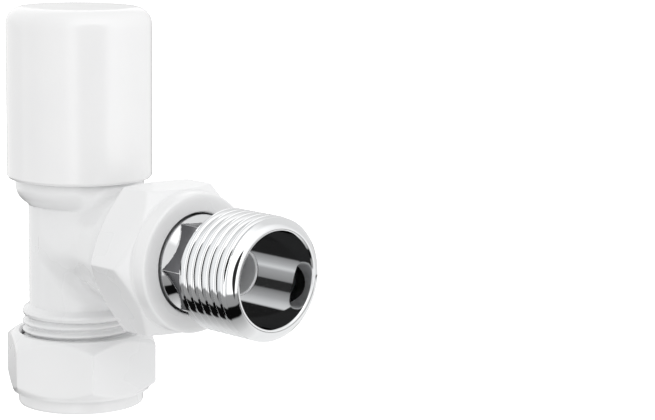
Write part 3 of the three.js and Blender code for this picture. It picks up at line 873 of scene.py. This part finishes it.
def softbox_and_strips(nodes, links, direction, x, y, z):
    """A large softbox, and strips on the ground that fan out from the line on through the view."""
    edge = toward(nodes, links, direction, SOFTBOX_EDGE, [(-0.04, 0.0), (0.04, 1.0)])
    reach = toward(nodes, links, direction, SOFTBOX_REACH, [(0.0, SURROUND), (0.75, SOFTBOX)])
    left = grey_ramp(nodes, links, x, -1, 1, [(-0.65, 1.25), (-0.45, SURROUND)])
    softbox = mixed(nodes, links, edge, left, reach)
    rise = combined(nodes, links, "ADD", z, -FAN_Z)
    run = combined(nodes, links, "ADD", y, -FAN_Y)
    run = combined(nodes, links, "MINIMUM", run, -0.02)
    fan = combined(nodes, links, "DIVIDE", rise, run)
    strips = grey_ramp(nodes, links, fan, 0, 2,
                       [(0.14, 0.36), (0.33, 0.32), (0.36, 0.004), (0.60, 0.004), (0.66, 0.42),
                        (1.2, 0.8), (2.0, 1.0)])
    above = grey_ramp(nodes, links, fan, -1, 1, [(0.09, 1.0), (0.13, 0.0)])
    return mixed(nodes, links, above, strips, softbox)


def bore_bands(nodes, links, y, z):
    """Bands by height, which the wall of the tail's bore picks up, dark on the far side."""
    bands = grey_ramp(nodes, links, z, -1, 1,
                      [(-0.48, 0.02), (-0.44, 0.36), (-0.28, 0.60), (-0.17, 0.90), (-0.08, 0.50),
                       (0.17, 0.34), (0.21, 0.03), (0.42, 0.03), (0.46, 0.27), (0.60, 0.50), (0.69, 0.85)])
    far_side = grey_ramp(nodes, links, y, -1, 1, [(-0.10, 0.0), (-0.04, 1.0)])
    return mixed(nodes, links, far_side, bands, FAR_SHADE)


def mirrored_light(nodes, links, direction, bounces):
    """What gloss mirrors. The bands show from the second reflection on, and the third is dark."""
    parts = nodes.new("ShaderNodeSeparateXYZ")
    links.new(direction, parts.inputs["Vector"])
    x, y, z = (parts.outputs[k] for k in "XYZ")
    second = combined(nodes, links, "GREATER_THAN", bounces, 1.5)
    third = combined(nodes, links, "GREATER_THAN", bounces, 2.5)
    flag = toward(nodes, links, direction, FLAG, [(0.89, 0.0), (0.92, 1.0)])
    beyond = grey_ramp(nodes, links, x, -1, 1, [(0.665, 0.0), (0.69, 1.0)])
    beyond = mixed(nodes, links, second, NOTHING, beyond)
    straight_on = toward(nodes, links, direction, STRAIGHT_ON, [(0.942, 0.0), (0.963, 1.0)])
    light = softbox_and_strips(nodes, links, direction, x, y, z)
    light = mixed(nodes, links, flag, light, FLAG_SHADE)
    light = mixed(nodes, links, beyond, light, bore_bands(nodes, links, y, z))
    light = mixed(nodes, links, straight_on, light, VIEW_SHADE)
    return mixed(nodes, links, third, light, FLAG_SHADE)


def make_world():
    """Studio surroundings: white to the camera, soft light for paint, and what gloss mirrors."""
    world = bpy.data.worlds.new("studio")
    bpy.context.scene.world = world
    world.use_nodes = True
    nodes, links = world.node_tree.nodes, world.node_tree.links
    direction = nodes.new("ShaderNodeTexCoord").outputs["Generated"]
    ray = nodes.new("ShaderNodeLightPath")
    mirrored = mirrored_light(nodes, links, direction, ray.outputs["Glossy Depth"])
    # paint is lit a little more from the right of the view, and from above
    soft = toward(nodes, links, direction, FROM_THE_RIGHT, [(-1.0, 0.84), (0.0, 0.99), (1.0, 1.12)])
    light = mixed(nodes, links, ray.outputs["Is Glossy Ray"], soft, mirrored)
    light = mixed(nodes, links, ray.outputs["Is Camera Ray"], light, WHITE)
    links.new(light, nodes["Background"].inputs["Color"])


def make_key_light():
    """One soft round light, which gloss doesn't mirror."""
    lamp = bpy.data.lights.new("key", "AREA")
    lamp.shape = "DISK"
    lamp.size = 0.30
    lamp.energy = 0.33
    where, target = Vector((0.45, -0.20, 0.40)), Vector((0.01, 0, 0.035))
    light = bpy.data.objects.new("key", lamp)
    light.location = where
    light.rotation_mode = "QUATERNION"
    light.rotation_quaternion = (target - where).to_track_quat("-Z", "Y")
    light.visible_glossy = False
    bpy.context.scene.collection.objects.link(light)


def floor_material():
    material, nodes, links, shader = new_material("pale_floor")
    grain = textured(nodes, links, "ShaderNodeTexNoise", Scale=3.0, Detail=2.0)
    tint = tinted(nodes, links, grain.outputs["Fac"], (0.93, 0.93, 0.93), (0.95, 0.95, 0.95))
    links.new(tint, shader.inputs["Base Color"])
    shader.inputs["Roughness"].default_value = 0.9
    shader.inputs["Emission Color"].default_value = WHITE
    shader.inputs["Emission Strength"].default_value = 0.45
    return material


def make_floor():
    """A pale floor, low enough for the compression nut to come down without meeting it."""
    corners = [(-FLOOR_REACH, -FLOOR_REACH, 0), (FLOOR_REACH, -FLOOR_REACH, 0),
               (FLOOR_REACH, FLOOR_REACH, 0), (-FLOOR_REACH, FLOOR_REACH, 0)]
    mesh = bpy.data.meshes.new("floor")
    mesh.from_pydata(corners, [], [(0, 1, 2, 3)])
    mesh.materials.append(floor_material())
    floor = bpy.data.objects.new("floor", mesh)
    bpy.context.scene.collection.objects.link(floor)
    floor.location.z = -FLOOR_DROP
    floor.visible_glossy = False
    floor.visible_diffuse = False


def aim(azimuth, elevation):
    """Direction from the valve toward a viewer at this azimuth and elevation."""
    a, e = math.radians(azimuth), math.radians(elevation)
    return Vector((math.sin(a) * math.cos(e), -math.cos(a) * math.cos(e), math.sin(e)))


def make_camera():
    """The camera at the photograph's viewing angle, with the valve left of the middle."""
    lens = bpy.data.cameras.new("camera")
    lens.sensor_width = 36
    lens.lens = 119.2
    lens.clip_start = 0.01
    lens.clip_end = 20
    camera = bpy.data.objects.new("camera", lens)
    bpy.context.scene.collection.objects.link(camera)
    bpy.context.scene.camera = camera
    camera.location = Vector((0, 0, TAIL_AXIS_Z * MM)) + aim(51.8, 10.32) * 0.3932
    camera.rotation_mode = "QUATERNION"
    roll = Matrix.Rotation(math.radians(0.74), 3, "Z").to_quaternion()
    camera.rotation_quaternion = (-aim(45.2, 9.575)).to_track_quat("-Z", "Y") @ roll


# ---------------------------------------------------------------- the scene

make_body()
make_union_nut()
make_compression_nut()
make_tail()
make_o_rings()
make_turned_rings()
make_split_rings()
make_bonnet()
make_gland_nut()
make_spindle()
make_disc()
make_screw()
make_cap()
make_world()
make_key_light()
make_floor()
make_camera()

scene = bpy.context.scene
scene.view_settings.view_transform = "Standard"
scene.cycles.max_bounces = 12
